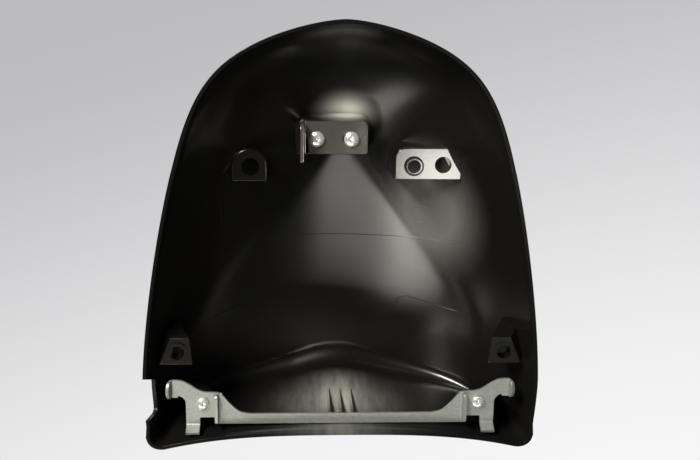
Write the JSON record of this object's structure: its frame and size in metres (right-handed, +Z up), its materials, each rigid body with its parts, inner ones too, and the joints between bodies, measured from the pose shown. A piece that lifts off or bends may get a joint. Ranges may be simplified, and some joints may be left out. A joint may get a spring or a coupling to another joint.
{
  "type": "motorcycle seat cowl",
  "caption": "Gloss black single-seat cowl for a motorcycle, shown from inside, with a stamped front stay and a rear latch plate",
  "frame": {"origin": "middle of the outline, on the plane of the rim that it rests on", "axes": "+Z up as fitted, +Y towards the tail, the backrest wall towards -Y, +X towards the single shelf and the notch"},
  "size_m": [0.2968, 0.3215, 0.116],
  "materials": {
    "gloss_black": "black moulded plastic, glossy, with faint mould marks",
    "zinc_stay": "zinc plated sheet steel, slightly dull, bright on its cut edges",
    "zinc_latch": "zinc plated sheet steel, smooth and mirror-like",
    "screw_steel": "bright zinc plated steel",
    "insert_brass": "turned brass"
  },
  "bodies": {
    "root": {"cowl_shell": "gloss_black", "front_bracket": "zinc_stay", "catch_bracket": "zinc_latch", "catch_screw_left": "screw_steel", "catch_screw_right": "screw_steel", "catch_nut_left": "screw_steel", "catch_nut_right": "screw_steel", "bracket_screw_left": "screw_steel", "bracket_screw_right": "screw_steel", "bracket_insert_left": "insert_brass", "bracket_insert_right": "insert_brass"}
  },
  "joints": []
}
